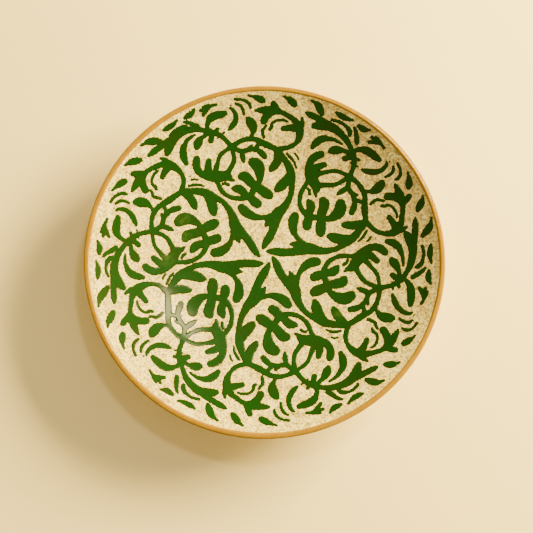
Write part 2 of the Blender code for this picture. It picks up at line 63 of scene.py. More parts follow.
# One scroll as brush strokes, each a run of (x, y, half width) in millimetres from the pattern's
# centre, with the scroll's arm along +X. Strokes that touch run into one another.
SCROLL_STROKES = {
    "spear": [
        (3, 5.2, .6), (5, 5.4, 1.5), (8, 5.6, 2.4), (12, 5.6, 3.0), (17, 5.4, 3.1), (25, 6.2, 3.2),
        (31, 8.6, 4.8), (37.5, 9.2, 4.6), (44, 7.9, 3.5), (50, 7.7, 2.6), (56, 8.5, 2.1),
        (60.5, 9.7, 1.9),
    ],
    "barb": [(22.9, 12.6, .3), (25.6, 12.5, 1.7), (29, 11.6, 3.6)],
    "hook_leaf": [
        (33, 11.6, 3.6), (30.8, 14.6, 2.2), (28.4, 17.9, 1.6), (26.4, 20.8, 2.0),
        (24.8, 25.2, 3.0), (24.4, 30, 3.6), (24.9, 33.4, 3.9), (26.1, 36.7, 3.2),
    ],
    "outer_stem": [
        (60.5, 9.7, 1.9), (66, 12.6, 2.5), (70.5, 15.4, 3.4), (75, 18, 3.3), (79, 21.8, 2.8),
        (82, 25.5, 2.3), (84.5, 29.5, 2.5), (86.3, 33.5, 2.1), (86.4, 38, 2.0), (86.2, 43.5, 2.5),
        (86.2, 47, 2.3), (86.3, 51, 2.0), (86.2, 55, 1.8), (84.4, 60, 1.8), (82.3, 63, 1.6),
        (79.2, 66.2, 1.5), (76, 68.4, 1.9), (73, 70, 2.3),
    ],
    "side_leaf_low": [
        (54.3, 19.6, 1.2), (57, 19.2, 3.0), (61, 18.1, 4.1), (66, 17.4, 3.7), (71.5, 16.8, 3.9),
    ],
    "side_leaf_high": [
        (67.5, 30.3, 1.1), (69.5, 30.2, 2.3), (73, 29.8, 3.3), (77, 29.7, 3.3), (81, 30.4, 3.3),
        (85, 31.8, 2.8),
    ],
    "palmette_stem": [
        (40.5, 70, 2.0), (37.2, 65.3, 1.5), (33.6, 60.8, 1.7), (31.3, 56.5, 1.6),
        (30.5, 52.5, 1.4), (30.4, 48.5, 1.6), (31.6, 44.3, 1.7), (33.8, 40, 1.7), (37, 36.2, 2.0),
    ],
    "short_lobe_up": [
        (37.2, 36, 2.4), (38.2, 40, 2.9), (39.6, 43.5, 3.2), (39.9, 46.5, 3.5), (39, 49.3, 2.6),
        (38.2, 51.6, 1.2),
    ],
    "short_lobe_down": [(37.4, 34, 3.2), (36.5, 30.5, 3.7), (36.2, 27.4, 3.4)],
    "bar": [
        (37, 35.2, 2.3), (42, 35.3, 2.3), (48, 35, 2.3), (53, 34.2, 2.0), (57, 35, 2.6),
        (61, 37.3, 3.8), (64.4, 40.2, 4.7), (66, 43.5, 4.8), (66.1, 47.2, 3.8),
    ],
    "long_lobe_up": [
        (48.8, 36, 3.0), (49.7, 40, 3.7), (51.2, 43.8, 3.9), (52, 47.2, 4.0), (50.8, 49.6, 2.9),
    ],
    "long_lobe_down": [(48.9, 33, 3.2), (48.4, 28, 4.0), (48.2, 24.6, 4.1), (48.1, 22.2, 3.3)],
    "node_link": [(77.6, 51.7, 1.8), (81, 51, 1.4), (85.5, 49.8, 1.5)],
    "inner_vine": [
        (72.8, 69, 2.0), (72.4, 65, 1.6), (72.1, 61, 1.9), (74, 58.4, 1.7), (76.2, 55.5, 1.6),
        (77.8, 52.5, 1.6), (78.4, 49.5, 1.6), (77.6, 45.3, 2.3), (76.2, 41.6, 2.0),
    ],
    "thorn": [(75, 57.4, 1.2), (77.5, 56.5, 1.0), (80, 55.6, .7)],
    "twig_leaf": [(63.3, 54.7, .4), (65.5, 56.3, 1.5), (68, 58, 2.0), (71.8, 61, 1.6)],
    "vine_leaf": [
        (85.5, 59.4, 1.2), (89.3, 59.2, 1.2), (93, 60, 2.5), (96, 62, 3.7), (98.2, 64.8, 3.7),
        (99.8, 67.6, 2.2), (100, 69.5, .5),
    ],
    "lens_low": [
        (44.5, 65.5, 3.0), (50, 63.4, 2.0), (55, 62.9, 1.65), (60, 62.8, 1.6), (65, 64.5, 1.4),
        (69, 67.2, 1.6), (73, 70, 2.2),
    ],
    "lens_high": [
        (42.5, 72.5, 3.0), (46, 72.7, 2.3), (50, 73.8, 1.9), (55, 74.5, 1.3), (60, 75.2, 1.25),
        (64.5, 74.4, 1.3), (69.5, 72.2, 1.2), (73, 70.3, 2.0),
    ],
    "palm_spine": [
        (45, 54.4, .5), (45, 57.5, 1.5), (46.2, 61, 3.0), (45.3, 65, 4.0), (42.8, 70, 4.7),
        (41, 75, 4.2), (40.4, 77.5, 3.6),
    ],
    "palm_lobe_high": [
        (40.4, 76, 3.6), (39.5, 80, 2.8), (40.4, 83.6, 2.8), (42.7, 86.6, 3.0), (45.9, 88.6, 3.0),
        (49, 89.5, 2.5),
    ],
    "palm_lobe_low": [(42, 75.5, 3.2), (45.3, 78.2, 2.9), (48.8, 79.7, 2.5), (52.4, 80.8, 2.0)],
    "ring": [
        (86.8, 33, 2.0), (89.2, 30.4, 1.8), (92, 27.7, 1.6), (95.3, 25.6, 1.6), (99.8, 24.4, 1.4),
        (104.5, 24.4, 2.1), (109, 25.9, 2.9), (113, 28.8, 3.5), (115.6, 32.6, 2.5),
        (116.8, 36.5, 1.9), (117, 40, 1.8), (117.5, 44, 1.6), (117.4, 48, 1.8), (116.6, 51.5, 3.0),
    ],
    "ring_hook": [(105, 38.3, 1.8), (107.3, 35.8, 2.1), (109.8, 33, 2.6), (112, 30.3, 3.4)],
    "ring_thorn": [(114, 28.6, 2.8), (118, 29.3, 1.8), (121.5, 31.5, .7)],
    "ring_bump": [(115.2, 33, 1.8), (114, 35.3, .8)],
    "trident_left": [(104.4, 55.4, 2.8), (108, 55.5, 2.8), (112, 54.6, 3.0), (116, 52.8, 3.2)],
    "trident_middle": [
        (110, 66.9, .5), (111.7, 64, 1.7), (113.2, 60.5, 2.5), (114.8, 56.5, 3.2),
        (116.5, 52.5, 3.2),
    ],
    "trident_right": [(122.9, 56, 2.0), (121.3, 53.8, 2.3), (118.9, 51.4, 2.4), (117.3, 48.5, 1.9)],
    "star_stem": [
        (73, 70, 2.3), (74.3, 74, 1.7), (75.9, 78.5, 1.6), (76.6, 81.5, 1.8), (76.8, 85, 2.0),
        (76.2, 88.5, 2.4), (76, 92, 2.4),
    ],
    "knob_left": [(73.6, 82.8, .7), (76.5, 82.4, .8)],
    "knob_right": [(77, 81.2, .9), (80.1, 80.4, 1.0)],
    "knob_high": [(77, 86.8, 2.0), (80.8, 86, 1.6)],
    "star_lobe": [(69.2, 86.2, 2.0), (71.8, 87, 2.0), (74.5, 88.6, 2.0), (76, 91, 2.0)],
    "star_leaf": [
        (57.3, 92.6, 1.9), (60.5, 93.2, 3.3), (64, 93.4, 2.8), (67.5, 93.1, 1.6), (71, 92, 1.4),
        (75.5, 91.5, 2),
    ],
    "plume_low": [
        (42.7, 113.2, 1.9), (46, 113.8, 3.0), (51, 114.2, 3.6), (56, 113.8, 3.5), (61, 111.7, 3.0),
        (66, 108, 2.6), (69.8, 104, 2.3), (72.6, 99.6, 1.8), (75, 94.5, 1.7),
    ],
    "plume_high": [
        (37.4, 127, .5), (38.8, 126, 1.4), (41.5, 124.3, 2.2), (45, 122, 2.2), (49, 119.4, 2.3),
        (53, 116.5, 2.6),
    ],
    "star_arm": [
        (76.5, 92.3, 1.8), (79.5, 94.4, 1.5), (83.5, 95.4, 2.0), (87.5, 95, 2.9), (91.5, 92.9, 2.9),
        (95, 90, 2.6), (97.8, 87.6, 1.6),
    ],
    "crescent": [
        (41.3, 95.5, 1.6), (44, 98.8, 2.7), (47.5, 101.4, 2.9), (51.5, 102.8, 2.3),
        (55.5, 102.7, 1.7), (59.5, 102.3, 1.2), (63.5, 100.6, .8), (67, 98.9, .3),
    ],
    "curl": [
        (83.4, 78.2, .5), (86, 77.5, 1.5), (90, 76.8, 2.1), (94.5, 76.9, 2.0), (98.5, 78.5, 1.7),
        (101.5, 81.3, 1.4), (103.1, 84, 1.0), (103.3, 86, .5),
    ],
    "dash_low": [
        (102.5, 73.3, .6), (105, 75, .8), (107.5, 78, 1.0), (108.3, 80.5, .9), (108.3, 83.5, .5),
    ],
    "dash_high": [
        (110.2, 71.7, .6), (112, 73, 1.0), (113.5, 75.5, 1.0), (114, 78.3, .9), (113.8, 81.5, .6),
        (112.7, 84.5, .7), (112, 86.3, .6),
    ],
    "dash_dot": [(105.5, 87.4, .5), (106, 86.2, .5)],
    "ring_dash_high": [
        (91, 48.9, .8), (93, 50.7, 1.0), (96, 52.5, 1.0), (98.5, 51.9, .7), (101, 51.7, .7),
    ],
    "ring_dash_low": [
        (99.3, 47.4, .9), (101.5, 47.1, 1.1), (104.5, 48.1, .8), (107.5, 47, .6), (110, 44.6, .7),
        (112, 41, .6), (112.2, 38.5, .3),
    ],
    "tick_long": [(87.7, 25.2, .5), (86.2, 22, .7), (83.7, 18.3, .6), (80.4, 15.6, .2)],
    "tick_short": [(91.3, 20.6, .2), (90.1, 18.2, .3), (88.3, 16.6, .2)],
    "tick_dot": [(95.4, 20.8, .4), (94.7, 18.9, .4)],
    "arch_tick": [(38.7, 61.7, .6), (39.9, 59.6, .8), (39.7, 57, .8)],
    "spray_high": [
        (133.4, 14.3, .7), (134.5, 11.5, .9), (135.2, 8.3, .9), (134.9, 4.5, .8), (134, 1, 1.4),
        (132, -1.8, 1.6), (129.8, -3, 1.3),
    ],
    "spray_low": [
        (137.6, -3.5, .6), (135.5, -6, 1.2), (132.3, -8, 1.5), (129, -9.8, 1.8), (126.7, -11.2, 1.6),
    ],
    "sprig_stem": [(133.3, -32.5, .7), (135, -29.5, .8), (136, -26.8, 1.6)],
    "sprig_left": [(132.3, -19.5, .9), (133.8, -22, 1.4), (135.8, -26.2, 1.7)],
    "sprig_middle": [(137.5, -19.9, .9), (136.5, -22.7, 1.2), (136, -26, 1.6)],
    "sprig_right": [(139, -22.8, .6), (137.9, -25, .9), (136.5, -27, 1.2)],
    "rim_leaf_a": [
        (141.8, 15, .6), (141.5, 11.5, 1.7), (141.5, 8, 2.0), (141.9, 4.8, 1.3), (143.2, .4, .5),
    ],
    "rim_leaf_b": [
        (141, -6, .9), (140.8, -9, 1.9), (140.6, -11.5, 2.1), (141.2, -13.8, 1.4), (142.5, -16.4, .4),
    ],
    "rim_leaf_c": [
        (133.6, 22.5, 1.2), (136, 25, 2.5), (138.3, 28, 2.8), (140, 31, 1.8), (140.5, 34, .8),
        (141, 36.6, .4),
    ],
    "rim_leaf_d": [
        (130.3, 44, 1.5), (131.5, 46.5, 2.5), (133, 50, 2.5), (133.8, 52.6, 1.2), (134.1, 56.3, .4),
    ],
    "rim_leaf_e": [
        (120.4, 79.8, .3), (121.3, 76, .9), (121.8, 72, 2.1), (122, 68.5, 2.5), (121.9, 66, 1.8),
    ],
}

# The painter's hand: how far each landmark of the scroll wandered in repeats 1 to 6, in millimetres
# along the repeat's own x and y. Each line is the landmark's place, then six (dx, dy) pairs.
HAND_DRIFT = {
    "spear_tip": ((3, 5), (-1.5, 0), (3, .6), (.8, -1), (0, 0), (0, 0), (0, 0)),
    "barb": ((24, 13), (-2, -1), (.6, 1.3), (-.3, .4), (-3, -.3), (0, 0), (-2.2, -1.4)),
    "hook_top": ((26, 39), (-1, -.9), (1.1, 3), (-.8, -.9), (-1.4, -.9), (0, 0), (-1, -1.1)),
    "spear_end": ((40, 7), (0, -1.9), (0, 1), (0, -1), (-.5, -.7), (0, 0), (0, -2.5)),
    "stem_start": ((60, 9), (0, -2.9), (0, -.5), (0, -2.2), (0, -2), (0, 0), (0, -3.8)),
    "short_lobe_low": ((36, 25), (-.6, .1), (1, 1.8), (-1.2, .1), (-1.7, .4), (0, 0), (-.5, 0)),
    "long_lobe_low": ((48, 19), (-1.3, -1), (0, 2.3), (-.4, .4), (-3.4, -1), (0, 0), (-1.8, -2.4)),
    "short_lobe_high": ((38, 52), (-1.3, -2.6), (-.4, 2.6), (-2.6, .7), (-2.3, .1), (0, 0), (0, -3.4)),
    "long_lobe_high": ((51, 52), (-2, -.1), (-.5, 3.4), (-3.4, 2.1), (-3.9, .5), (0, 0), (-.7, -2)),
    "bar_lobe": ((67, 48), (-1.8, -1.2), (0, 3.7), (-3.1, 2.1), (-4.6, .8), (0, 0), (-.5, -1.9)),
    "leaf_high": ((67, 30), (-1.6, -2.8), (0, 4.6), (-1, .7), (-4, -1.6), (0, 0), (-.9, -3.5)),
    "leaf_low": ((56, 19.6), (-.8, -1.4), (1, 1.5), (0, 0), (-2.4, -.5), (0, 0), (-.8, -3.1)),
    "node": ((87, 31), (-1, -3.5), (-1, 5.5), (-2, 1.2), (-3.7, -1.1), (0, 0), (-1, -3)),
    "stem_bow": ((79, 21), (-1, -1.5), (0, .5), (-.5, 0), (-1.8, -.5), (0, 0), (-.5, -2)),
    "hanging_tip": ((76, 41), (-3.1, -3.9), (-.8, 2.6), (-3, 1.8), (-5, -.8), (0, 0), (-1.2, -3.4)),
    "lens_left": ((46, 70), (-3.7, -1.5), (-3.2, 1), (-6, 1), (-5, -1), (0, 0), (-2.5, -3)),
    "palm_left": ((37, 77), (-2.2, -1), (-4.5, 3), (-5.7, 2), (-3.8, 2), (0, 0), (-1.6, -1)),
    "palm_tip": ((51, 90), (-1, -1.2), (-6, 3.9), (-7.2, 3.4), (-3, 3), (0, 0), (-.5, -1)),
    "crossing": ((72, 70), (-1, -1.3), (-5.4, 2.5), (-6.8, 2.5), (-4.3, .8), (0, 0), (-.7, -1.6)),
    "star": ((76, 92), (-1.2, -2.9), (-8, 4.8), (-8.9, 3), (-6, 0), (0, 0), (-.3, -3.3)),
    "star_leaf": ((57, 92.5), (-1.7, -1.5), (-5.3, 6.2), (-6.7, 3.3), (-2.8, 2), (0, 0), (-.5, -3.2)),
    "crescent": ((48, 103), (-1, -1), (-6, 4), (-6, 4), (-2, 2.9), (0, 0), (0, -2.4)),
    "plume_low": ((41, 113), (-1.3, -.7), (-9.4, 3.6), (-8.9, 4.5), (-1.8, 3.6), (0, 0), (2.2, -1.7)),
    "plume_high": ((37, 126.5), (-2.7, -4), (-14.6, 1.7), (-11.8, 3.1), (-5, 3), (0, 0), (0, -3.1)),
    "arm_tip": ((98, 87), (-1, -6.2), (-9.5, 3.6), (-9, 4.5), (-4.6, 0), (0, 0), (.5, -5.5)),
    "arm_top": ((87, 97), (-2, -5.5), (-8, 5), (-9, 5), (-5.7, 1.4), (0, 0), (-1, -6)),
    "curl": ((83, 78), (-1, -4.4), (-4, 4.2), (-6.8, 4.2), (-4.4, 1.3), (0, 0), (-1.1, -3.5)),
    "vine_leaf": ((100, 69), (-1, -6), (-5.3, 4), (-6.2, 5.8), (-5.3, .8), (0, 0), (0, -4.2)),
    "dashes": ((109, 79), (.5, -8.7), (-6.9, 4.6), (-7.8, 5.3), (-6, .3), (0, 0), (2.4, -7.5)),
    "ring_low": ((104, 23), (-1, -6), (-3, 1.5), (-4, 3), (-5, .8), (0, 0), (-1, -3.4)),
    "ring_thorn": ((121, 31), (-3, -9), (-3, 1), (-5, 4.3), (-4.5, 2), (0, 0), (-2, -4.6)),
    "ring_hook": ((104, 39), (0, -6), (-1.4, 4), (-1.9, 4.9), (-4.7, 1.6), (0, 0), (0, -1.7)),
    "ring_right": ((118, 44), (-1.6, -6.5), (-3, 3), (-5, 5), (-4.9, 2), (0, 0), (1.2, -3.5)),
    "trident_left": ((102, 55.5), (-1, -5), (-3.6, 4.6), (-5, 5.5), (-4.4, 1.3), (0, 0), (0, -3.5)),
    "trident_middle": ((110, 67), (0, -7.2), (-5.9, 3), (-7, 4.2), (-4.8, 1.8), (0, 0), (1, -4.6)),
    "trident_right": ((124, 57.5), (-2, -8), (-7, 4.5), (-8.3, 7.4), (-5, 4), (0, 0), (1.5, -5)),
    "rim_a": ((142, 8), (-5, -9.5), (-6.4, -7.3), (-6.4, 8), (-2.2, 7), (0, 0), (-.6, -6.1)),
    "rim_b": ((142, -11), (-5.7, -10.5), (-6.4, -6.8), (-4.9, 7.2), (-2.2, 7.6), (0, 0), (-.5, -5.2)),
    "rim_c": ((137, 29), (-1.7, -8), (-5.2, -3.5), (-6.3, 7.4), (-2.8, 9), (0, 0), (.4, -5.4)),
    "rim_d": ((132, 50), (-2, -7.5), (-7, -2.5), (-8.8, 9.5), (-4.4, 7.8), (0, 0), (.3, -7.5)),
    "rim_e": ((121, 72), (-.5, -11), (-8.2, 1), (-9.5, 5.8), (-3.6, 2.3), (0, 0), (1.4, -7.5)),
    "sprig": ((135, -25), (-4.7, -11), (-5, -9), (-1.2, 5.5), (-.7, 5), (0, 0), (-1, -5.5)),
    "spray_high": ((133, 6), (-2.2, -8.5), (-3.9, -7.1), (-2.9, 5), (-1.8, 5.8), (0, 0), (0, -3)),
    "spray_low": ((131, -8), (-4.4, -9.5), (-4.6, -8.2), (-2.4, 7.3), (-1.2, 7.7), (0, 0), (-.7, -3.3)),
    "tick": ((85, 20), (-2.8, -3.5), (0, 2.7), (-1.2, .6), (-4.4, -1.3), (0, 0), (-.5, -4)),
}

# Where the green is made paler: (x, y, radius) in millimetres on the plate. This is a painted
# reflection, a soft sheen on the glaze, and not wear.
SHEEN_PLACES = ((-69.5, 37, 9), (-67.7, 22, 8), (-83, 3, 10), (62, -45, 7))


class Face(Enum):
    """Which face of the clay a coat lies on; the value is the side that it grows towards."""

    INNER = 1
    OUTER = -1


class Slot(Enum):
    """The record's material slots."""

    CLAY = "bare_clay"
    CREAM = "cream_glaze"
    OCHRE = "ochre_glaze"
    GREEN = "green_glaze"


def linear(code: str) -> tuple[float, float, float, float]:
    """Turns a display colour into the linear colour that shaders and lights take.

    Args:
        code: six hexadecimal digits, red first.

    Returns:
        Linear red, green, blue and an alpha of 1.
    """
    parts = [int(code[i:i + 2], 16) / 255 for i in (0, 2, 4)]
    spread = [p / 12.92 if p <= 0.04045 else ((p + 0.055) / 1.055) ** 2.4 for p in parts]
    return (spread[0], spread[1], spread[2], 1.0)


def smooth_step(share: np.ndarray) -> np.ndarray:
    """0 below 0, 1 above 1, and a smooth S between: 3 share squared less 2 share cubed."""
    share = np.clip(share, 0.0, 1.0)
    return share * share * (3 - 2 * share)


@dataclass
class Signal:
    """An output socket of a shader graph, so that shader maths reads like ordinary maths."""

    graph: "Graph"
    socket: bpy.types.NodeSocket

    def __add__(self, other: "Signal | float") -> "Signal":
        """This plus other."""
        return self.graph.maths("ADD", self, other)

    __radd__ = __add__

    def __rsub__(self, other: float) -> "Signal":
        """Other less this."""
        return self.graph.maths("SUBTRACT", other, self)

    def __mul__(self, other: "Signal | float") -> "Signal":
        """This times other."""
        return self.graph.maths("MULTIPLY", self, other)

    __rmul__ = __mul__

    def between(self, low: float, high: float) -> "Signal":
        """0 where this is at low, 1 where it is at high, and a smooth S between."""
        return self.graph.node(
            "ShaderNodeMapRange",
            {"interpolation_type": "SMOOTHSTEP"},
            {"Value": self, "From Min": low, "From Max": high},
            "Result",
        )


class Graph:
    """A material and its shader graph."""

    def __init__(self, name: str) -> None:
        """Starts a material with one principled shader.

        Args:
            name: the material's name.
        """
        self.material = bpy.data.materials.new(name)
        self.material.use_nodes = True
        self.tree = self.material.node_tree
        self.shader = self.tree.nodes["Principled BSDF"]

    def node(
        self,
        kind: str,
        settings: dict[str, object] | None = None,
        inputs: dict[str | int, object] | None = None,
        output: str | int = 0,
    ) -> Signal:
        """Adds a node: its settings first, then its socket values and links.

        Args:
            kind: the node's type.
            settings: properties of the node, such as a Math node's operation.
            inputs: a number, vector, colour or Signal for each named or numbered socket.
            output: the output socket to hand back.

        Returns:
            The chosen output.
        """
        made = self.tree.nodes.new(kind)
        for name, value in (settings or {}).items():
            setattr(made, name, value)
        for name, value in (inputs or {}).items():
            self.feed(made.inputs[name], value)
        return Signal(self, made.outputs[output])

    def feed(self, socket: bpy.types.NodeSocket, value: object) -> None:
        """Links a Signal to a socket, or sets the socket's own value."""
        if isinstance(value, Signal):
            self.tree.links.new(value.socket, socket)
        else:
            socket.default_value = value

    def maths(self, operation: str, first: "Signal | float", second: "Signal | float") -> Signal:
        """One step of arithmetic on two values."""
        return self.node("ShaderNodeMath", {"operation": operation}, {0: first, 1: second})

    def places(self, shift: float = 0.0) -> Signal:
        """The piece's own coordinates in metres, moved by shift along x and y."""
        own = self.node("ShaderNodeTexCoord", None, None, "Object")
        return self.node("ShaderNodeMapping", None, {"Vector": own, "Location": (shift, shift, 0.0)})

    def noise(
        self, grain: float, detail: float = 2.0, roughness: float = 0.5, distortion: float = 0.0,
        shift: float = 0.0,
    ) -> Signal:
        """Soft cloudy values around a half.

        Args:
            grain: the size of one cloud in metres.
            detail: how many finer layers are added.
            roughness: how strong the finer layers are.
            distortion: how far the clouds are pulled about.
            shift: a move of the pattern, so that two of one grain differ.

        Returns:
            A value that mostly lies between 0.3 and 0.7.
        """
        return self.node(
            "ShaderNodeTexNoise",
            None,
            {
                "Vector": self.places(shift), "Scale": 1.0 / grain, "Detail": detail,
                "Roughness": roughness, "Distortion": distortion,
            },
            "Fac",
        )

    def attribute(self, name: str) -> Signal:
        """A value that the mesh carries at each corner point."""
        return self.node("ShaderNodeAttribute", {"attribute_name": name}, None, "Fac")

    def mix(self, share: "Signal | float", first: object, second: object) -> Signal:
        """Blends two colours.

        Args:
            share: how much of the second shows.
            first: the colour below.
            second: the colour above.

        Returns:
            The mixed colour.
        """
        return self.node("ShaderNodeMix", {"data_type": "RGBA"}, {0: share, 6: first, 7: second}, 2)

    def bump(self, height: Signal, distance: float, strength: float = 1.0) -> Signal:
        """A surface normal that follows a height between 0 and 1, distance metres deep."""
        return self.node(
            "ShaderNodeBump", None, {"Strength": strength, "Distance": distance, "Height": height}, "Normal"
        )

    def dress(self, **sockets: object) -> bpy.types.Material:
        """Feeds the principled shader's sockets, named with underscores for spaces."""
        for name, value in sockets.items():
            self.feed(self.shader.inputs[name.replace("_", " ")], value)
        return self.material


@dataclass(frozen=True)
class CreamGlaze:
    """Cream glaze over speckled clay: tan clouds, gritty grain, brown freckles and pale patches.

    Towards one side of the plate the glaze is painted browner and darker: painted shade for the
    wall that faces away from the key light, not a tone of the glaze itself.
    """

    cream: str = "F2E6AA"
    pale: str = "FFFADA"
    tan: str = "B49E74"
    grit: str = "6C624E"
    freckle: str = "403722"
    # Direction, start, end and strength of the painted shade that darkens one side of the plate.
    painted_shade_towards: tuple[float, float, float] = (0.70, 0.71, 0.0)
    painted_shade_from: float = 25 * MM
    painted_shade_to: float = 150 * MM
    painted_shade_share: float = 0.42
    cloud_size: float = 34 * MM
    mottle_size: float = 7.5 * MM
    grain_size: float = 1.7 * MM
    pit_size: float = 4 * MM
    patch_size: float = 5.2 * MM

    def material(self) -> bpy.types.Material:
        """Builds the finish."""
        graph = Graph("cream_glaze")
        clouds = graph.noise(self.cloud_size, 3.0, 0.6).between(0.40, 0.64)
        mottle = graph.noise(self.mottle_size, 5.0, 0.68, 0.5).between(0.46, 0.64)
        grain = graph.noise(self.grain_size, 2.0, 0.6, 0.4, 0.9).between(0.46, 0.62)
        pits = graph.noise(self.pit_size, 4.0, 0.75, 0.5, 0.3).between(0.54, 0.64)
        pale = graph.noise(self.patch_size, 4.0, 0.6, 0.3, 0.7).between(0.47, 0.60)
        # Painted shade: the ground is mixed towards tan on the side of the plate that faces away from the
        # key light.
        across = graph.node(
            "ShaderNodeVectorMath",
            {"operation": "DOT_PRODUCT"},
            {0: graph.places(), 1: self.painted_shade_towards},
            "Value",
        )
        painted_shade_side = across.between(self.painted_shade_from, self.painted_shade_to)
        shade = clouds * 0.24 + painted_shade_side * self.painted_shade_share
        ground = graph.mix(shade, linear(self.cream), linear(self.tan))
        ground = graph.mix(pale * 0.65, ground, linear(self.pale))
        ground = graph.mix(mottle * (0.34 + 0.22 * clouds), ground, linear(self.tan))
        ground = graph.mix(grain * 0.72, ground, linear(self.grit))
        ground = graph.mix(pits * (0.36 + 0.26 * mottle), ground, linear(self.freckle))
        relief = graph.noise(0.009, 3.0, 0.5, 0.0, 0.1) + pits * 0.08
        return graph.dress(
            Base_Color=ground,
            Roughness=0.34 + 0.10 * mottle,
            Normal=graph.bump(relief, 0.0006, 0.4),
            Coat_Weight=0.32,
            Coat_Roughness=0.09,
            Specular_IOR_Level=0.2,
        )


@dataclass(frozen=True)
class GreenGlaze:
    """Green copper glaze, laid on thick by brush: darker where it pools along a stroke's edge."""

    body: str = "023804"
    edge: str = "031B02"
    brown: str = "182E06"
    # Pale grey-green of the painted reflection, a soft sheen on the glaze.
    painted_sheen: str = "3C5434"
    edge_start: float = 0.15 * MM
    edge_width: float = 0.9 * MM
    tone_size: float = 12 * MM
    rust_size: float = 20 * MM
    sheen_size: float = 4 * MM

    def material(self) -> bpy.types.Material:
        """Builds the finish."""
        graph = Graph("green_glaze")
        inside = graph.attribute("edge_distance")
        core = inside.between(self.edge_start, self.edge_width)
        tone = graph.noise(self.tone_size, 3.0, 0.6).between(0.35, 0.70)
        rust = graph.noise(self.rust_size, 2.0, 0.5, 0.0, 0.6).between(0.50, 0.68)
        colour = graph.mix(tone * 0.25, linear(self.body), linear(self.edge))
        colour = graph.mix(rust * 0.40, colour, linear(self.brown))
        colour = graph.mix(core, linear(self.edge), colour)
        # Painted reflection: at a few places the green is mixed towards a pale grey-green sheen.
        patchy = graph.noise(self.sheen_size, 3.0, 0.6, 0.0, 0.5).between(0.30, 0.62)
        colour = graph.mix(graph.attribute("sheen_mask") * patchy * 0.5, colour, linear(self.painted_sheen))
        relief = graph.noise(0.004, 3.0, 0.55, 0.2, 0.2)
        return graph.dress(
            Base_Color=colour,
            Roughness=0.34 + 0.10 * tone,
            Normal=graph.bump(relief, 0.0004, 0.4),
            Coat_Weight=0.26,
            Coat_Roughness=0.09,
            Specular_IOR_Level=0.12,
        )


@dataclass(frozen=True)
class OchreGlaze:
    """Ochre glaze on the lip, a little browner at its inner edge and nearly brown down the outside.

    The browning at the inner edge and down the outside is painted shade: the inner edge line and the outer
    side, which faces the key light, are darkened.
    """

    ochre: str = "967406"
    honey: str = "846305"
    brown: str = "644204"
    streak_size: float = 10 * MM
    grain_size: float = 1.6 * MM
    # How strongly the painted shade browns the band's inner edge and its outer side.
    painted_shade_inside: float = 0.06
    painted_shade_outside: float = 0.92

    def material(self) -> bpy.types.Material:
        """Builds the finish."""
        graph = Graph("ochre_glaze")
        streak = graph.noise(self.streak_size, 3.0, 0.6, 0.5).between(0.38, 0.68)
        grain = graph.noise(self.grain_size, 2.0, 0.6).between(0.45, 0.70)
        share = graph.attribute("band_share")
        # Painted shade: the band is browned along its inner edge and down its outer side.
        thin = 1.0 - share.between(0.0, 0.20)
        outside = share.between(0.31, 0.44)
        colour = graph.mix(streak * 0.45, linear(self.ochre), linear(self.honey))
        colour = graph.mix(grain * 0.18, colour, linear(self.brown))
        painted_rim_shade = thin * self.painted_shade_inside + outside * self.painted_shade_outside
        colour = graph.mix(painted_rim_shade, colour, linear(self.brown))
        return graph.dress(
            Base_Color=colour,
            Roughness=0.10 + 0.08 * streak,
            Normal=graph.bump(graph.noise(0.006, 2.0), 0.0004, 0.5),
            Coat_Weight=0.12,
            Coat_Roughness=0.06,
            Specular_IOR_Level=0.2,
        )


@dataclass(frozen=True)
class BareClay:
    """Unglazed fired clay, with sandy grain and turning lines from the trimming tool."""

    clay: str = "B98A62"
    dark: str = "8E6444"
    pale: str = "D9B591"
    cloud_size: float = 18 * MM
    grit_size: float = 0.9 * MM

    def material(self) -> bpy.types.Material:
        """Builds the finish."""
        graph = Graph("bare_clay")
        cloud = graph.noise(self.cloud_size, 3.0, 0.6).between(0.35, 0.68)
        grit = graph.noise(self.grit_size, 2.0, 0.6).between(0.52, 0.70)
        lines = graph.node(
            "ShaderNodeTexWave",
            {"wave_type": "RINGS", "rings_direction": "Z"},
            {"Vector": graph.places(), "Scale": 260.0, "Distortion": 1.5, "Detail": 2.0},
            "Fac",
        )
        colour = graph.mix(cloud * 0.6, linear(self.clay), linear(self.pale))
        colour = graph.mix(grit * 0.7, colour, linear(self.dark))
        relief = lines * 0.5 + grit * 0.5
        return graph.dress(
            Base_Color=colour,
            Roughness=0.78 + 0.12 * cloud,
            Normal=graph.bump(relief, 0.0002, 0.6),
            Specular_IOR_Level=0.3,
        )


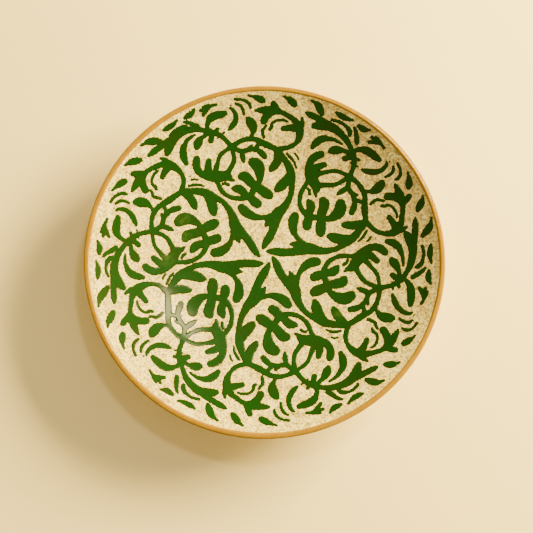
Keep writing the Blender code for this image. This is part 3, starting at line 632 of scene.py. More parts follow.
@dataclass(frozen=True)
class DishForm:
    """The dish's mid-surface and its wall, from which every coat is an offset.

    The mid-surface's height is floor_height plus rise times (radius / mid_radius) to the power.
    """

    rim_radius: float
    rim_top: float
    floor_height: float = 9.1 * MM
    floor_thickness: float = 5.6 * MM
    lip_thickness: float = 3.4 * MM
    coat: float = 0.8 * MM
    power: float = 2.6
    lip_zone: float = 0.8
    lip_steps: int = 400

    @property
    def lip_radius(self) -> float:
        """Half the lip's thickness, which is the radius of its round."""
        return self.lip_thickness / 2

    @property
    def mid_radius(self) -> float:
        """Where the mid-surface ends, inside the lip's round."""
        return self.rim_radius - self.lip_radius - self.coat

    @property
    def rise(self) -> float:
        """How far the mid-surface climbs from the centre to the lip."""
        return self.rim_top - self.lip_radius - self.coat - self.floor_height

    def height(self, radius: np.ndarray) -> np.ndarray:
        """Height of the mid-surface: almost flat at the centre, rising ever faster."""
        return self.floor_height + self.rise * (radius / self.mid_radius) ** self.power

    def slope(self, radius: np.ndarray) -> np.ndarray:
        """Steepness of the mid-surface, which is its height's rate of change with radius."""
        share = radius / self.mid_radius
        return self.rise * self.power * share ** (self.power - 1) / self.mid_radius

    def wall(self, radius: np.ndarray, face: Face, coat: np.ndarray | float) -> np.ndarray:
        """Points on a face: the mid-surface moved along its normal by half the wall and the coat.

        Args:
            radius: radii of the mid-surface.
            face: the inner or the outer face.
            coat: how far beyond the clay each point lies.

        Returns:
            An (n, 2) array of radius and height.
        """
        thinned = smooth_step(radius / self.mid_radius)
        half = (self.floor_thickness + (self.lip_thickness - self.floor_thickness) * thinned) / 2
        slope = self.slope(radius)
        length = np.hypot(1.0, slope)
        reach = face.value * (half + coat)
        return np.column_stack([radius - reach * slope / length, self.height(radius) + reach / length])

    def lip_angle(self, turn: np.ndarray) -> np.ndarray:
        """Angle on the lip's round, a half circle that starts square to the inner wall."""
        steepness = self.slope(np.array([self.mid_radius]))[0]
        return math.pi / 2 + math.atan(steepness) - math.pi * turn

    def lip(self, turn: np.ndarray, coat: np.ndarray | float) -> np.ndarray:
        """Points on the lip's round: a half circle from the inner wall, turn 0, to the outer, turn 1.

        Args:
            turn: from 0 at the inner wall to 1 at the outer wall.
            coat: how far beyond the clay each point lies.

        Returns:
            An (n, 2) array of radius and height.
        """
        end = np.array([self.mid_radius])
        angle = self.lip_angle(turn)
        reach = self.lip_radius + coat
        return np.column_stack([
            self.mid_radius + reach * np.cos(angle),
            self.height(end)[0] + reach * np.sin(angle),
        ])

    def shouldered(self, turn: np.ndarray, coat: np.ndarray, power: float) -> np.ndarray:
        """The lip's round with a squarer shoulder between its top and its outer side.

        There the circle becomes a superellipse: |cos|^power + |sin|^power = 1, times the radius.

        Args:
            turn: from 0 at the inner wall to 1 at the outer wall.
            coat: glaze thickness at each turn.
            power: 2 keeps the circle, and more makes a squarer shoulder.

        Returns:
            An (n, 2) array of radius and height.
        """
        angle = self.lip_angle(turn)
        across, up = np.cos(angle), np.sin(angle)
        square = (np.abs(across) ** power + np.abs(up) ** power) ** (-1 / power)
        stretch = np.where((across > 0) & (up > 0), square, 1.0)
        return self.lip(turn, coat + (self.lip_radius + coat) * (stretch - 1))

    def back_from_lip(self, length: float, face: Face) -> float:
        """Radius of the mid-surface whose face point lies length along the wall from the lip."""
        radius = np.linspace(self.mid_radius, self.lip_zone * self.mid_radius, self.lip_steps)
        points = self.wall(radius, face, self.coat)
        run = np.concatenate([[0.0], np.cumsum(np.hypot(*np.diff(points, axis=0).T))])
        return float(np.interp(length, run, radius))

    def painted_height(self, plan_radius: np.ndarray, lift: np.ndarray) -> np.ndarray:
        """Height of the inner glaze's face over a plan radius, with lift added along the normal."""
        radius = np.linspace(0.0, self.mid_radius, FINE_STEPS)
        face = self.wall(radius, Face.INNER, self.coat)
        slope = self.slope(radius)
        return np.interp(plan_radius, face[:, 0], face[:, 1]) + lift * np.interp(
            plan_radius, face[:, 0], np.hypot(1.0, slope)
        )


@dataclass(frozen=True)
class Throwing:
    """The slight unevenness that hand throwing leaves: it grows from nothing at the foot to the rim."""

    rim_top: float
    sway: float = 0.12 * MM
    warp: float = 0.15 * MM
    calm_radius: float = 20 * MM

    def bend(self, points: np.ndarray) -> np.ndarray:
        """Moves points outwards and upwards by slow waves round the axis, scaled by height.

        Args:
            points: an (n, 3) array.

        Returns:
            The moved points.
        """
        angle = np.arctan2(points[:, 1], points[:, 0])
        share = smooth_step(points[:, 2] / self.rim_top)
        out = self.sway * share * (np.cos(2 * angle + 0.7) + 0.4 * np.cos(3 * angle + 2.1)) / 1.4
        up = self.warp * share * (np.cos(2 * angle + 2.6) + 0.5 * np.cos(5 * angle + 0.4)) / 1.5
        radius = np.maximum(np.hypot(points[:, 0], points[:, 1]), 1e-9)
        moved = points.copy()
        moved[:, :2] *= (1 + out / radius * np.minimum(1.0, radius / self.calm_radius))[:, None]
        moved[:, 2] += up - self.warp * share
        return moved


class Maker:
    """Puts meshes in the scene, ties each to its body and material slot, and hides the CAD node that it
    stands for.
    """

    def __init__(self, throwing: Throwing) -> None:
        """Keeps the unevenness that every piece shares."""
        self.throwing = throwing
        self.finishes: dict[Slot, bpy.types.Material] = {}

    def finish(self, slot: Slot) -> bpy.types.Material:
        """The material of a slot, built once."""
        makers = {
            Slot.CLAY: BareClay, Slot.CREAM: CreamGlaze, Slot.OCHRE: OchreGlaze, Slot.GREEN: GreenGlaze,
        }
        if slot not in self.finishes:
            self.finishes[slot] = makers[slot]().material()
        return self.finishes[slot]

    def piece(
        self, name: str, points: np.ndarray, faces: list[list[int]], slot: Slot, node: str,
        values: dict[str, np.ndarray] | None = None,
    ) -> bpy.types.Object:
        """Builds one piece that stands for a CAD node.

        Args:
            name: the piece's name.
            points: an (n, 3) array of corner points.
            faces: corner numbers of each face, counter-clockwise seen from outside.
            slot: the material slot.
            node: the CAD node that it replaces.
            values: named values at each corner point.

        Returns:
            The piece, which rides on the plate's body.
        """
        mesh = bpy.data.meshes.new(name)
        mesh.from_pydata(self.throwing.bend(points).tolist(), [], faces)
        mesh.shade_smooth()
        for key, value in (values or {}).items():
            layer = mesh.attributes.new(key, "FLOAT", "POINT")
            layer.data.foreach_set("value", np.ascontiguousarray(value, dtype=np.float32))
        mesh.materials.append(self.finish(slot))
        made = bpy.data.objects.new(name, mesh)
        bpy.context.scene.collection.objects.link(made)
        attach(made, BODY)
        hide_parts(node)
        LOG.info("%s: %d faces", name, len(faces))
        return made


@dataclass
class TurnedPiece:
    """A piece turned about Z: its profile carried round the axis on a grid of points."""

    maker: Maker
    turns: int = 256

    def angles(self) -> np.ndarray:
        """The angles of the steps round the axis."""
        return np.arange(self.turns) * FULL_TURN / self.turns

    def carry_round(self, lines: np.ndarray) -> np.ndarray:
        """Turns profile points: each becomes (radius cos angle, radius sin angle, height).

        Args:
            lines: radii and heights as an (n, 1, 2) array, or (n, turns, 2) where they change
                with the angle.

        Returns:
            An (n times turns, 3) array, ring by ring.
        """
        angle = self.angles()
        height = np.broadcast_to(lines[..., 1], (len(lines), self.turns))
        points = [lines[..., 0] * np.cos(angle), lines[..., 0] * np.sin(angle), height]
        return np.stack(points, axis=-1).reshape(-1, 3)

    def ring_faces(self, count: int, closed: bool) -> list[list[int]]:
        """The quads between neighbouring rings, and between the last and the first where closed."""
        rows = np.arange(count if closed else count - 1)[:, None]
        here = np.arange(self.turns)[None, :]
        beside = (here + 1) % self.turns
        low, high = rows * self.turns, ((rows + 1) % count) * self.turns
        quads = np.stack([low + here, high + here, high + beside, low + beside], axis=-1)
        return quads.reshape(-1, 4).tolist()

    def sweep(self, profile: np.ndarray, closed: bool) -> tuple[np.ndarray, list[list[int]]]:
        """Turns a whole profile into a closed shell.

        Args:
            profile: (radius, height) points that run down the piece's outer side. Where it isn't
                closed, its first and last points lie on the axis and become poles.
            closed: whether the last point joins the first.

        Returns:
            Points and faces.
        """
        ring = profile if closed else profile[1:-1]
        points = self.carry_round(ring[:, None, :])
        faces = self.ring_faces(len(ring), closed)
        if not closed:
            here = np.arange(self.turns)
            beside = (here + 1) % self.turns
            first, last = len(points), len(points) + 1
            points = np.vstack([points, [0.0, 0.0, profile[0, 1]], [0.0, 0.0, profile[-1, 1]]])
            end = (len(ring) - 1) * self.turns
            top = np.stack([np.full(self.turns, first), here, beside], axis=-1)
            under = np.stack([np.full(self.turns, last), end + beside, end + here], axis=-1)
            faces += top.tolist() + under.tolist()
        return points, faces


@dataclass
class ClayDish(TurnedPiece):
    """The clay under the glaze, and the bare ring that it stands on."""

    form: DishForm = field(kw_only=True)
    foot_outer: float = 73 * MM
    foot_inner: float = 65 * MM
    foot_bevel: float = 1.2 * MM
    foot_draft: float = 1.2 * MM
    clearance: float = 0.06 * MM
    wall_steps: int = 90
    lip_steps: int = 18

    def build(self) -> None:
        """Makes the dish and its foot."""
        self.build_dish()
        self.build_foot()

    def build_dish(self) -> None:
        """The thrown dish: inner face, the lip's round and outer face in one profile."""
        radius = np.linspace(0.0, self.form.mid_radius, self.wall_steps)
        inner = self.form.wall(radius, Face.INNER, 0.0)
        lip = self.form.lip(np.linspace(0.0, 1.0, self.lip_steps)[1:-1], 0.0)
        outer = self.form.wall(radius[::-1], Face.OUTER, 0.0)
        points, faces = self.sweep(np.vstack([inner, lip, outer]), closed=False)
        self.maker.piece("clay_dish", points, faces, Slot.CLAY, "clay_body")

    def under_dish(self, at: np.ndarray) -> np.ndarray:
        """Heights just under the dish's outer face at plan radii."""
        radius = np.linspace(0.0, self.form.mid_radius, FINE_STEPS)
        under = self.form.wall(radius, Face.OUTER, 0.0)
        return np.interp(at, under[:, 0], under[:, 1]) - self.clearance

    def build_foot(self) -> None:
        """The foot ring: its sides lean in to a flat seat with rounded edges at height 0."""
        turn = np.linspace(0.0, math.pi / 2, 7)
        bevel = self.foot_bevel
        out = self.foot_outer - self.foot_draft - bevel
        into = self.foot_inner + self.foot_draft + bevel
        outer_round = np.column_stack([out + bevel * np.cos(turn), bevel - bevel * np.sin(turn)])
        inner_round = np.column_stack([into - bevel * np.sin(turn), bevel - bevel * np.cos(turn)])
        top = np.linspace(self.foot_inner, self.foot_outer, 6)
        crown = np.column_stack([top, self.under_dish(top)])
        outer_side = np.linspace(crown[-1], outer_round[0], 8)[1:-1]
        inner_side = np.linspace(inner_round[-1], crown[0], 8)[1:-1]
        seat_run = np.linspace(outer_round[-1], inner_round[0], 6)[1:-1]
        profile = np.vstack([crown, outer_side, outer_round, seat_run, inner_round, inner_side])
        points, faces = self.sweep(profile, closed=True)
        self.maker.piece("trimmed_foot", points, faces, Slot.CLAY, "foot_ring")


@dataclass
class CreamCoats(TurnedPiece):
    """The cream glaze inside the dish, outside it and under its floor."""

    form: DishForm = field(kw_only=True)
    reach_inside: float = 1.2 * MM
    reach_outside: float = 3.0 * MM
    tuck: float = 1.2 * MM
    outer_start: float = 76 * MM
    base_edge: float = 62 * MM
    lap_inside: float = 0.8 * MM
    lap_outside: float = 1.0 * MM
    clearance: float = 0.06 * MM
    edge_height: float = 0.15 * MM
    inner_steps: int = 110
    base_steps: int = 50
    outer_steps: int = 70
    edge_steps: int = 9

    def coat(self, run: np.ndarray, starts: bool) -> np.ndarray:
        """The coat's height over the clay: full, but rounding down to its edges.

        Args:
            run: radii of the mid-surface, growing.
            starts: whether the coat's low end is an edge too, and not the axis.

        Returns:
            Height over the clay at each radius.
        """
        outer = np.clip((run[-1] - run) / self.tuck, 0.0, 1.0)
        inner = np.clip((run - run[0]) / self.tuck, 0.0, 1.0) if starts else np.ones(len(run))
        round_over = np.sqrt(1 - (1 - np.minimum(outer, inner)) ** 2)
        return self.edge_height + (self.form.coat - self.edge_height) * round_over

    def fine_to_edges(self, low: float, high: float, steps: int, both: bool) -> np.ndarray:
        """Radii from low to high, packed closer near the coat's edges by the cosine of a quarter turn."""
        even = np.linspace(low, high - self.tuck, steps)
        closing = np.cos(np.linspace(0.0, math.pi / 2, self.edge_steps))
        edge = high - self.tuck * closing[1:]
        start = low + self.tuck * (1 - closing)[:-1]
        inside = even[even > low + self.tuck] if both else even
        return np.concatenate([start, inside, edge] if both else [inside, edge])

    def build(self) -> None:
        """Makes the three coats."""
        edge = self.form.back_from_lip(self.reach_inside - self.lap_inside, Face.INNER)
        self.disc("inner_cream", "inner_glaze", edge, Face.INNER, self.inner_steps)
        self.disc("base_cream", "base_glaze", self.base_edge, Face.OUTER, self.base_steps)
        self.build_outer()

    def disc(self, name: str, node: str, edge: float, face: Face, steps: int) -> None:
        """A coat from the axis to an edge, on one face: one side at its coat, one by the clay."""
        run = self.fine_to_edges(0.0, edge, steps, both=False)
        outside = self.form.wall(run, face, self.coat(run, starts=False))
        against = self.form.wall(run, face, self.clearance)
        upper, lower = (outside, against) if face is Face.INNER else (against, outside)
        points, faces = self.sweep(np.vstack([upper, lower[::-1]]), closed=False)
        self.maker.piece(name, points, faces, Slot.CREAM, node)

    def build_outer(self) -> None:
        """The coat on the outer wall, from above the foot ring to the ochre band."""
        edge = self.form.back_from_lip(self.reach_outside - self.lap_outside, Face.OUTER)
        run = self.fine_to_edges(self.outer_start, edge, self.outer_steps, both=True)
        outside = self.form.wall(run, Face.OUTER, self.coat(run, starts=True))
        against = self.form.wall(run, Face.OUTER, self.clearance)
        points, faces = self.sweep(np.vstack([against, outside[::-1]]), closed=True)
        self.maker.piece("outer_cream", points, faces, Slot.CREAM, "outer_glaze")


@dataclass
class OchreBand(TurnedPiece):
    """The ochre glaze that wraps the lip, with a hand-laid wavy edge inside and outside.

    Its squarer shoulder is an assumption.
    """

    form: DishForm = field(kw_only=True)
    reach_inside: float = 1.1 * MM
    reach_outside: float = 3.0 * MM
    waver: float = 0.22 * MM
    waver_outside: float = 0.7
    swell: float = 0.26 * MM
    edge_drop: float = 0.25 * MM
    edge_share: float = 0.12
    clearance: float = 0.1 * MM
    shoulder: float = 4.5
    turns: int = 384
    across: int = 56

    def build(self) -> None:
        """Makes the band: at each angle its profile runs inner skirt, lip's round, outer skirt.

        The skirts' reach wavers with the angle as a sum of three slow waves, and the coat swells
        from nothing at each edge by a quarter circle.
        """
        angle = self.angles()
        waver = self.waver * (
            np.sin(3 * angle + 0.4) + 0.6 * np.sin(8 * angle + 1.9) + 0.5 * np.sin(19 * angle + 0.8)
        )
        share = np.linspace(0.0, 1.0, self.across)
        edge = np.minimum(share, 1 - share) / self.edge_share
        swell = np.sqrt(1 - (1 - np.clip(edge, 0.0, 1.0)) ** 2)
        outer = np.stack([self.profile(share, w, swell) for w in waver], axis=1)
        bare = np.full(self.across, -1.0)
        inner = np.stack([self.profile(share[::-1], w, bare) for w in waver], axis=1)
        loop = np.concatenate([outer, inner], axis=0)
        faces = self.ring_faces(len(loop), closed=True)
        values = {"band_share": np.repeat(np.concatenate([share, share[::-1]]), self.turns)}
        self.maker.piece(
            "ochre_band", self.carry_round(loop), faces, Slot.OCHRE, "rim_band", values
        )

    def profile(self, share: np.ndarray, waver: float, swell: np.ndarray) -> np.ndarray:
        """The band's line across the lip at one angle.

        Args:
            share: from 0 at the inner edge to 1 at the outer edge.
            waver: how much further the inner skirt reaches here.
            swell: from 0 where the glaze ends to 1 where it is full, or -1 against the clay.

        Returns:
            Radius and height at each share.
        """
        inside = self.reach_inside + waver
        round_run = math.pi * (self.form.lip_radius + self.form.coat)
        outside = self.reach_outside + self.waver_outside * waver
        run = share * (inside + round_run + outside)
        glazed = self.form.coat - self.edge_drop + (self.edge_drop + self.swell) * swell
        coat = np.where(swell < 0, self.clearance, glazed)
        inner_radius = np.array(
            [self.form.back_from_lip(v, Face.INNER) for v in np.clip(inside - run, 0, None)]
        )
        outer_radius = np.array(
            [self.form.back_from_lip(v, Face.OUTER) for v in np.clip(run - inside - round_run, 0, None)]
        )
        turn = np.clip((run - inside) / round_run, 0.0, 1.0)
        on_lip = np.where(
            (swell < 0)[:, None], self.form.lip(turn, coat), self.form.shouldered(turn, coat, self.shoulder)
        )
        on_inner = self.form.wall(inner_radius, Face.INNER, coat)
        on_outer = self.form.wall(outer_radius, Face.OUTER, coat)
        line = np.where((run < inside)[:, None], on_inner, on_lip)
        return np.where((run > inside + round_run)[:, None], on_outer, line)


@dataclass(frozen=True)
class Hand:
    """The painter's hand: carries each repeat's strokes off their drawn place by a smooth drift.

    Between the landmarks the drift is a thin plate spline: a sum of weights times r squared log r,
    where r is the distance to each landmark, plus a tilted plane. The stiffness keeps it smooth.
    """

    stiffness: float = 60.0

    def kernel(self, points: np.ndarray, marks: np.ndarray) -> np.ndarray:
        """r squared log r for each point and landmark."""
        apart = np.hypot(*(points[:, None, :] - marks[None, :, :]).transpose(2, 0, 1))
        return np.where(apart > 0, apart**2 * np.log(np.maximum(apart, 1e-9)), 0.0)

    def weights(self, repeat: int) -> tuple[np.ndarray, np.ndarray]:
        """Solves the spline for one repeat.

        Args:
            repeat: from 0 to 5.

        Returns:
            The landmarks' places, and the weights in x and y with the plane's last.
        """
        marks = np.array([row[0] for row in HAND_DRIFT.values()], float)
        moves = np.array([row[1 + repeat] for row in HAND_DRIFT.values()], float)
        count = len(marks)
        system = np.zeros((count + 3, count + 3))
        system[:count, :count] = self.kernel(marks, marks) + self.stiffness * np.eye(count)
        system[:count, count] = 1.0
        system[:count, count + 1:] = marks
        system[count:, :count] = system[:count, count:].T
        target = np.vstack([moves, np.zeros((3, 2))])
        return marks, np.linalg.solve(system, target)

    def carry(self, curve: np.ndarray, marks: np.ndarray, weights: np.ndarray) -> np.ndarray:
        """Moves a stroke's spine by the drift and keeps its widths."""
        places = curve[:, :2]
        plane = np.column_stack([np.ones(len(places)), places])
        moved = curve.copy()
        moved[:, :2] += np.hstack([self.kernel(places, marks), plane]) @ weights
        return moved


@dataclass
class ScrollFilm:
    """One green scroll: its strokes' outline traced on a fine grid, and raised as a thin film."""

    maker: Maker
    form: DishForm
    hand: Hand
    repeat: int
    centre: tuple[float, float] = (1.0, 5.0)
    step: float = 0.42
    margin: float = 3.0
    film: float = 0.16 * MM
    sink: float = 0.12 * MM
    shoulder: float = 0.9
    fray: float = 0.13
    swell_centre: float = 0.72
    swell_rim: float = 0.54
    thin_swell: float = 0.26
    thin: float = 0.7
    least_half: float = 0.15
    pattern_radius: float = 140.0
    room: float = 6.0
    nearest_cut: float = 0.06
    seed: int = 41
    fray_lengths: tuple[float, ...] = (1.7, 2.3, 3.1, 4.6)
    # Places where the green carries a painted reflection.
    sheen_places: tuple[tuple[float, float, float], ...] = ()

    def spine(self, stroke: list[tuple[float, float, float]]) -> np.ndarray:
        """A smooth curve through a stroke's points, eight steps a span.

        Each span is the Catmull-Rom cubic of its two ends and their neighbours. Every half width
        then grows by an allowance, which is larger near the plate's centre and for thin strokes.
        The allowance is a fitted correction of the drawn widths, and no rule of how glaze runs.
        """
        given = np.array(stroke, float)
        if len(given) < 3:
            return np.linspace(given[0], given[-1], 9)
        run = np.vstack([2 * given[0] - given[1], given, 2 * given[-1] - given[-2]])
        a, b, c, d = run[:-3, None], run[1:-2, None], run[2:-1, None], run[3:, None]
        t = np.linspace(0.0, 1.0, 9)[:-1][None, :, None]
        cubic = 0.5 * (
            2 * b + (c - a) * t + (2 * a - 5 * b + 4 * c - d) * t**2 + (3 * b - a - 3 * c + d) * t**3
        )
        curve = np.vstack([cubic.reshape(-1, 3), given[-1]])
        curve[:, 2] = np.maximum(curve[:, 2], self.least_half)
        outwards = np.hypot(curve[:, 0], curve[:, 1]) / self.pattern_radius
        spread = self.swell_centre + (self.swell_rim - self.swell_centre) * outwards
        curve[:, 2] += spread + self.thin_swell * np.exp(-curve[:, 2] / self.thin)
        return curve

    def curves(self) -> list[np.ndarray]:
        """All strokes of this repeat, drifted and turned to their place on the plate."""
        marks, weights = self.hand.weights(self.repeat)
        angle = FULL_TURN * self.repeat / REPEATS
        turn = np.array([[math.cos(angle), math.sin(angle)], [-math.sin(angle), math.cos(angle)]])
        made = []
        for stroke in SCROLL_STROKES.values():
            curve = self.hand.carry(self.spine(stroke), marks, weights)
            curve[:, :2] = curve[:, :2] @ turn + self.centre
            made.append(curve)
        return made

    def depth(self, x: np.ndarray, y: np.ndarray, curves: list[np.ndarray]) -> np.ndarray:
        """How far inside the paint each grid point lies, in millimetres; less than 0 outside.

        A stroke is a row of links; a link's depth is its half width there less the distance to its
        axis, and the deepest link of all strokes counts.
        """
        depth = np.full(x.shape, -self.margin)
        for curve in curves:
            low = curve[:, :2].min(axis=0) - curve[:, 2].max() - self.margin
            high = curve[:, :2].max(axis=0) + curve[:, 2].max() + self.margin
            columns = slice(*np.searchsorted(x[0], [low[0], high[0]]))
            rows = slice(*np.searchsorted(y[:, 0], [low[1], high[1]]))
            px, py = x[rows, columns, None], y[rows, columns, None]
            start, link = curve[:-1], np.diff(curve, axis=0)
            square = link[:, 0] ** 2 + link[:, 1] ** 2 + 1e-12
            along = ((px - start[:, 0]) * link[:, 0] + (py - start[:, 1]) * link[:, 1]) / square
            along = np.clip(along, 0.0, 1.0)
            apart = np.hypot(
                px - start[:, 0] - along * link[:, 0], py - start[:, 1] - along * link[:, 1]
            )
            inside = (start[:, 2] + along * link[:, 2] - apart).max(axis=-1)
            depth[rows, columns] = np.maximum(depth[rows, columns], inside)
        return depth

    def frayed(self, x: np.ndarray, y: np.ndarray, depth: np.ndarray) -> np.ndarray:
        """Wavers the outline as a dry brush does: a sum of short waves across the plate."""
        wave = np.zeros(x.shape)
        rng = np.random.default_rng(self.seed + self.repeat)
        for length in self.fray_lengths:
            heading, phase, second = rng.uniform(0, FULL_TURN, 3)
            across = (x * math.cos(heading) + y * math.sin(heading)) * FULL_TURN / length
            other = (y * math.cos(heading) - x * math.sin(heading)) * FULL_TURN / (1.3 * length)
            wave += np.sin(across + phase) * np.sin(other + second)
        return depth + self.fray * wave

    def trace(self, depth: np.ndarray) -> tuple[np.ndarray, np.ndarray, np.ndarray]:
        """Cuts the grid's triangles along the line where depth is 0.

        A triangle with one corner inside keeps that corner's tip, one with two keeps a four-sided
        strip, and one with three is kept whole.

        Args:
            depth: values on the grid, above 0 inside.

        Returns:
            Grid numbers of the kept corners, the cut edges as (inside, outside) grid numbers, and
            triangles that number the kept corners first and the cut edges after them.
        """
        rows, columns = depth.shape
        flat = depth.ravel()
        number = np.arange(rows * columns).reshape(rows, columns)
        a, b = number[:-1, :-1].ravel(), number[:-1, 1:].ravel()
        c, d = number[1:, 1:].ravel(), number[1:, :-1].ravel()
        triangles = np.vstack([np.column_stack([a, b, c]), np.column_stack([a, c, d])])
        inside = flat[triangles] > 0
        count = inside.sum(axis=1)
        whole = triangles[count == 3]
        one = self.lead_with(triangles[count == 1], inside[count == 1])
        two = self.lead_with(triangles[count == 2], ~inside[count == 2])
        cuts = np.vstack([
            one[:, [0, 1]], one[:, [0, 2]], two[:, [1, 0]], two[:, [2, 0]],
        ])
        cuts, which = np.unique(cuts, axis=0, return_inverse=True)
        which = which.ravel()
        tip_first, tip_last, strip_first, strip_last = np.split(
            which, np.cumsum([len(one), len(one), len(two)])
        )
        kept = np.unique(np.concatenate([whole.ravel(), one[:, 0], two[:, 1:].ravel()]))
        place = np.full(len(flat), -1)
        place[kept] = np.arange(len(kept))
        edge = len(kept)
        faces = np.vstack([
            place[whole],
            np.column_stack([place[one[:, 0]], edge + tip_first, edge + tip_last]),
            np.column_stack([edge + strip_first, place[two[:, 1]], place[two[:, 2]]]),
            np.column_stack([edge + strip_first, place[two[:, 2]], edge + strip_last]),
        ])
        return kept, cuts, faces

    @staticmethod
    def lead_with(triangles: np.ndarray, chosen: np.ndarray) -> np.ndarray:
        """Turns each triangle so that its one chosen corner comes first, and keeps its winding."""
        first = chosen.argmax(axis=1)
        order = (first[:, None] + np.arange(3)) % 3
        return np.take_along_axis(triangles, order, axis=1)

    @staticmethod
    def outline(faces: np.ndarray, count: int) -> np.ndarray:
        """The directed edges that only one triangle has, with the film on their left."""
        edges = np.vstack([faces[:, [0, 1]], faces[:, [1, 2]], faces[:, [2, 0]]])
        forward = edges[:, 0] * count + edges[:, 1]
        backward = edges[:, 1] * count + edges[:, 0]
        return edges[~np.isin(forward, backward)]

    def build(self) -> bpy.types.Object:
        """Makes the film: a domed top, the same triangles turned over below, and a wall between.

        The top's height over the glaze is film times the quarter circle of depth over shoulder.
        """
        curves = self.curves()
        low = np.min([c[:, :2].min(axis=0) for c in curves], axis=0) - self.margin - self.room
        high = np.max([c[:, :2].max(axis=0) for c in curves], axis=0) + self.margin + self.room
        x, y = np.meshgrid(np.arange(low[0], high[0], self.step), np.arange(low[1], high[1], self.step))
        depth = self.frayed(x, y, self.depth(x, y, curves))
        kept, cuts, faces = self.trace(depth)
        flat_x, flat_y, flat = x.ravel(), y.ravel(), depth.ravel()
        share = flat[cuts[:, 0]] / (flat[cuts[:, 0]] - flat[cuts[:, 1]])
        share = np.clip(share, self.nearest_cut, 1 - self.nearest_cut)
        cut_x = flat_x[cuts[:, 0]] + share * (flat_x[cuts[:, 1]] - flat_x[cuts[:, 0]])
        cut_y = flat_y[cuts[:, 0]] + share * (flat_y[cuts[:, 1]] - flat_y[cuts[:, 0]])
        plan_x = np.concatenate([flat_x[kept], cut_x]) * MM
        plan_y = np.concatenate([flat_y[kept], cut_y]) * MM
        inside = np.concatenate([flat[kept], np.zeros(len(cuts))])
        radius = np.hypot(plan_x, plan_y)
        dome = np.sqrt(1 - (1 - np.clip(inside / self.shoulder, 0.0, 1.0)) ** 2)
        top = self.form.painted_height(radius, self.film * dome)
        under = self.form.painted_height(radius, np.full(len(radius), -self.sink))
        count = len(radius)
        points = np.vstack([
            np.column_stack([plan_x, plan_y, top]), np.column_stack([plan_x, plan_y, under]),
        ])
        edges = self.outline(faces, count)
        first, second = edges[:, 0], edges[:, 1]
        wall = np.vstack([
            np.column_stack([first + count, second + count, second]),
            np.column_stack([first + count, second, first]),
        ])
        solid = np.vstack([faces, faces[:, ::-1] + count, wall])
        values = {
            "edge_distance": np.tile(inside * MM, 2),
            "sheen_mask": np.tile(self.sheen_mask(plan_x / MM, plan_y / MM), 2),
        }
        return self.maker.piece(
            f"green_scroll_{self.repeat + 1}", points, solid.tolist(), Slot.GREEN,
            f"painted_scroll_{self.repeat + 1}", values,
        )

    def sheen_mask(self, x: np.ndarray, y: np.ndarray) -> np.ndarray:
        """How strong the painted reflection is: 1 at each sheen place, falling to 0 at its radius."""
        painted_sheen = np.zeros(len(x))
        for place_x, place_y, size in self.sheen_places:
            painted_sheen = np.maximum(painted_sheen, smooth_step(1 - np.hypot(x - place_x, y - place_y) / size))
        return painted_sheen


@dataclass(frozen=True)
class Softbox:
    """A rectangular studio light that faces the plate."""

    name: str
    azimuth: float
    elevation: float
    distance: float
    width: float
    height: float
    power: float
    colour: str = "FFF4E6"

    def place(self, target: tuple[float, float, float]) -> None:
        """Adds the light: it stands at its azimuth and elevation, and looks at the target."""
        lamp = bpy.data.lights.new(self.name, "AREA")
        lamp.shape = "RECTANGLE"
        lamp.size = self.width
        lamp.size_y = self.height
        lamp.energy = self.power
        lamp.color = linear(self.colour)[:3]
        stand = bpy.data.objects.new(self.name, lamp)
        turn, lift = math.radians(self.azimuth), math.radians(self.elevation)
        stand.location = (
            target[0] + self.distance * math.cos(lift) * math.cos(turn),
            target[1] + self.distance * math.cos(lift) * math.sin(turn),
            target[2] + self.distance * math.sin(lift),
        )
        stand.rotation_euler = (math.pi / 2 - lift, 0.0, turn + math.pi / 2)
        bpy.context.scene.collection.objects.link(stand)


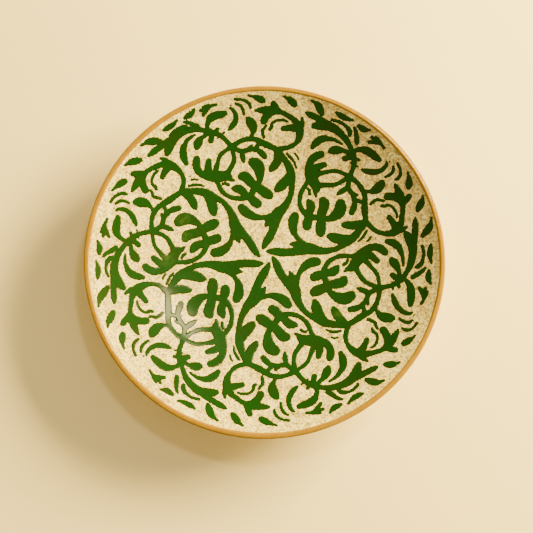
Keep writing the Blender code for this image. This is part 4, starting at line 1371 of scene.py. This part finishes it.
@dataclass(frozen=True)
class Studio:
    """The pale floor, the soft lights and the camera."""

    floor_half: float = 6.0
    floor_colour: str = "FFF4E4"
    sky_colour: str = "FFDE80"
    sky_strength: float = 0.68
    tilt: float = 12.632
    camera_distance: float = 1.0
    lens: float = 81.35
    shift: tuple[float, float] = (0.0036, -0.0188)

    def build(self, target: tuple[float, float, float]) -> None:
        """Sets up the studio round a target point."""
        self.lay_floor()
        self.light(target)
        self.set_camera(target)

    def lay_floor(self) -> None:
        """A plain flat floor at height 0."""
        half = self.floor_half
        mesh = bpy.data.meshes.new("floor")
        corners = [(-half, -half, 0.0), (half, -half, 0.0), (half, half, 0.0), (-half, half, 0.0)]
        mesh.from_pydata(corners, [], [(0, 1, 2, 3)])
        graph = Graph("floor_paint")
        tint = graph.noise(0.25, 2.0, 0.4).between(0.3, 0.7)
        deeper = tuple(0.97 * part for part in linear(self.floor_colour)[:3]) + (1.0,)
        colour = graph.mix(tint, linear(self.floor_colour), deeper)
        mesh.materials.append(graph.dress(Base_Color=colour, Roughness=0.9, Specular_IOR_Level=0.1))
        floor = bpy.data.objects.new("floor", mesh)
        bpy.context.scene.collection.objects.link(floor)

    def light(self, target: tuple[float, float, float]) -> None:
        """A key low on the far right, a small light for the glint, and an even pale surround."""
        Softbox("key", 30.0, 21.0, 1.7, 1.2, 0.5, 262.0, "FFDE72").place(target)
        Softbox("glint", 60.5, 66.4, 1.45, 0.18, 0.13, 5.2, "FFE9A8").place(target)
        world = bpy.data.worlds.new("surround")
        world.use_nodes = True
        background = world.node_tree.nodes["Background"]
        background.inputs["Color"].default_value = linear(self.sky_colour)
        background.inputs["Strength"].default_value = self.sky_strength
        bpy.context.scene.world = world

    def set_camera(self, target: tuple[float, float, float]) -> None:
        """The camera looks down at the rim's plane, tilted a little towards the near side."""
        lens = bpy.data.cameras.new("camera")
        lens.lens = self.lens
        lens.sensor_width = 36.0
        lens.shift_x, lens.shift_y = self.shift
        lens.clip_start = 0.05
        eye = bpy.data.objects.new("camera", lens)
        tilt = math.radians(self.tilt)
        eye.location = (
            target[0],
            target[1] - self.camera_distance * math.sin(tilt),
            target[2] + self.camera_distance * math.cos(tilt),
        )
        eye.rotation_euler = (tilt, 0.0, 0.0)
        bpy.context.scene.collection.objects.link(eye)
        bpy.context.scene.camera = eye


def main() -> None:
    """Builds the plate and its studio."""
    logging.basicConfig(level=logging.INFO, format="%(name)s %(message)s")
    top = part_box("rim_band")[1]
    form = DishForm(rim_radius=top.x, rim_top=top.z)
    maker = Maker(Throwing(rim_top=top.z))
    ClayDish(maker, form=form).build()
    CreamCoats(maker, form=form).build()
    OchreBand(maker, form=form).build()
    hand = Hand()
    for repeat in range(REPEATS):
        ScrollFilm(maker, form, hand, repeat, sheen_places=SHEEN_PLACES).build()
    Studio().build((0.0, 0.0, top.z))


if __name__ == "__main__":
    main()
